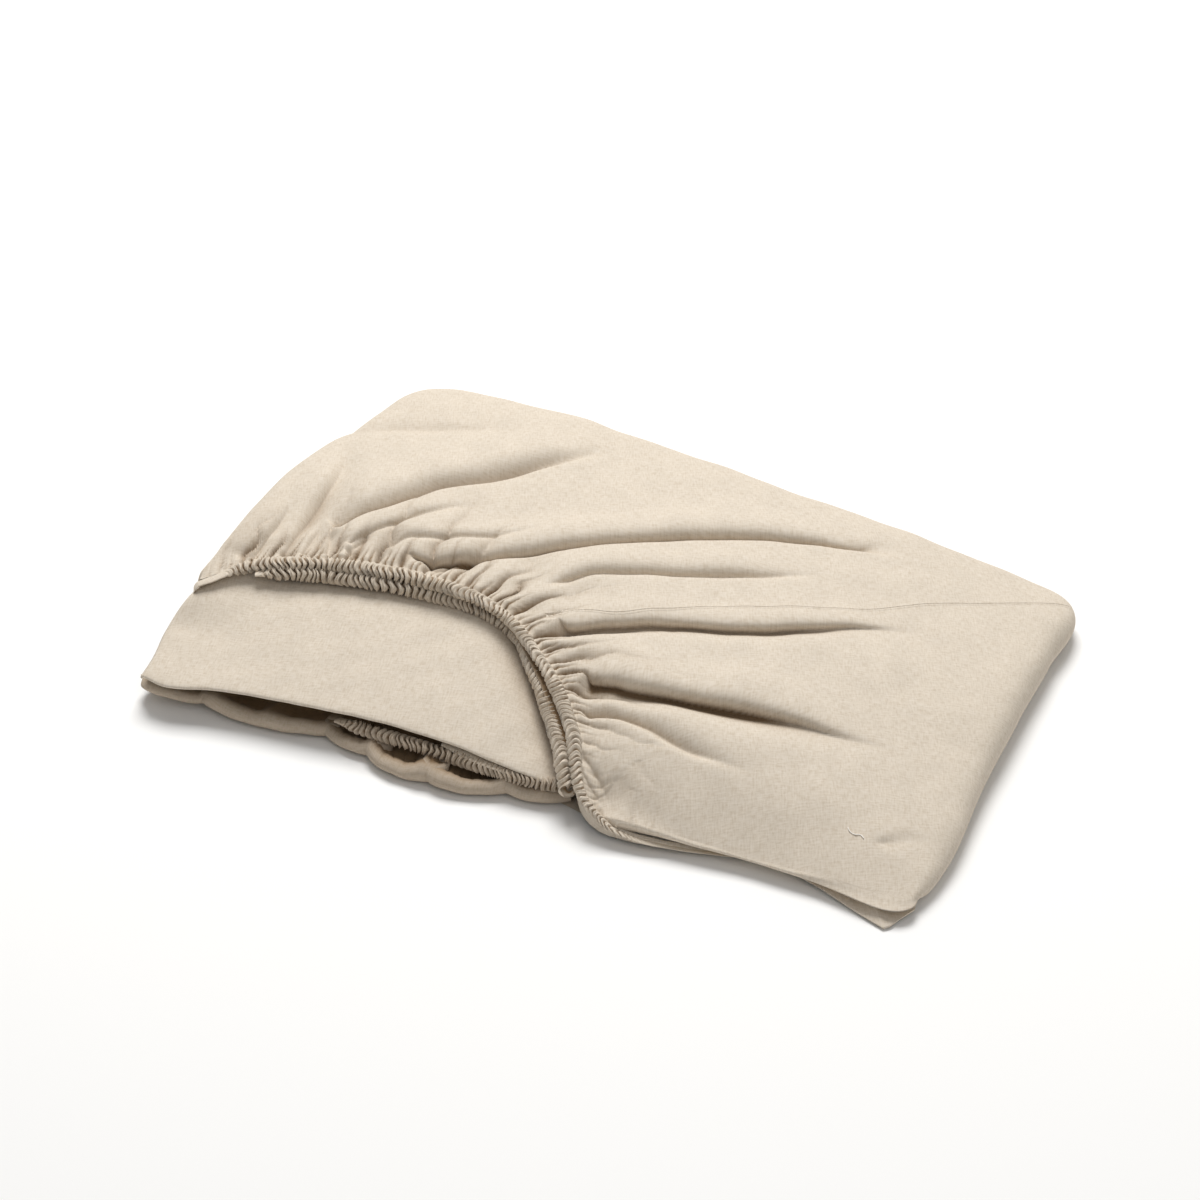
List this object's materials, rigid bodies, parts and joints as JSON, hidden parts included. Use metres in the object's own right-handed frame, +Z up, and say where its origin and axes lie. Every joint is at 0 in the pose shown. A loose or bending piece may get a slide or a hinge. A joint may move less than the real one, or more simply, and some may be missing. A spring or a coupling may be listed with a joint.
{
  "type": "folded fitted sheet",
  "caption": "Plain linen fitted sheet folded into a flat bundle, with one elasticated corner pocket turned over it and its ruched hems showing at the front.",
  "frame": {"origin": "on the surface that the bundle lies on, under the middle of its box", "axes": "+X along the bundle towards its closed right-hand side, -Y towards the front with the mouth and the hems, +Z up"},
  "size_m": [0.4476, 0.3022, 0.0565],
  "materials": {
    "linen": "plain-woven washed linen in its natural sand colour, matt"
  },
  "bodies": {
    "root": {"fitted_sheet": "linen"}
  },
  "joints": []
}
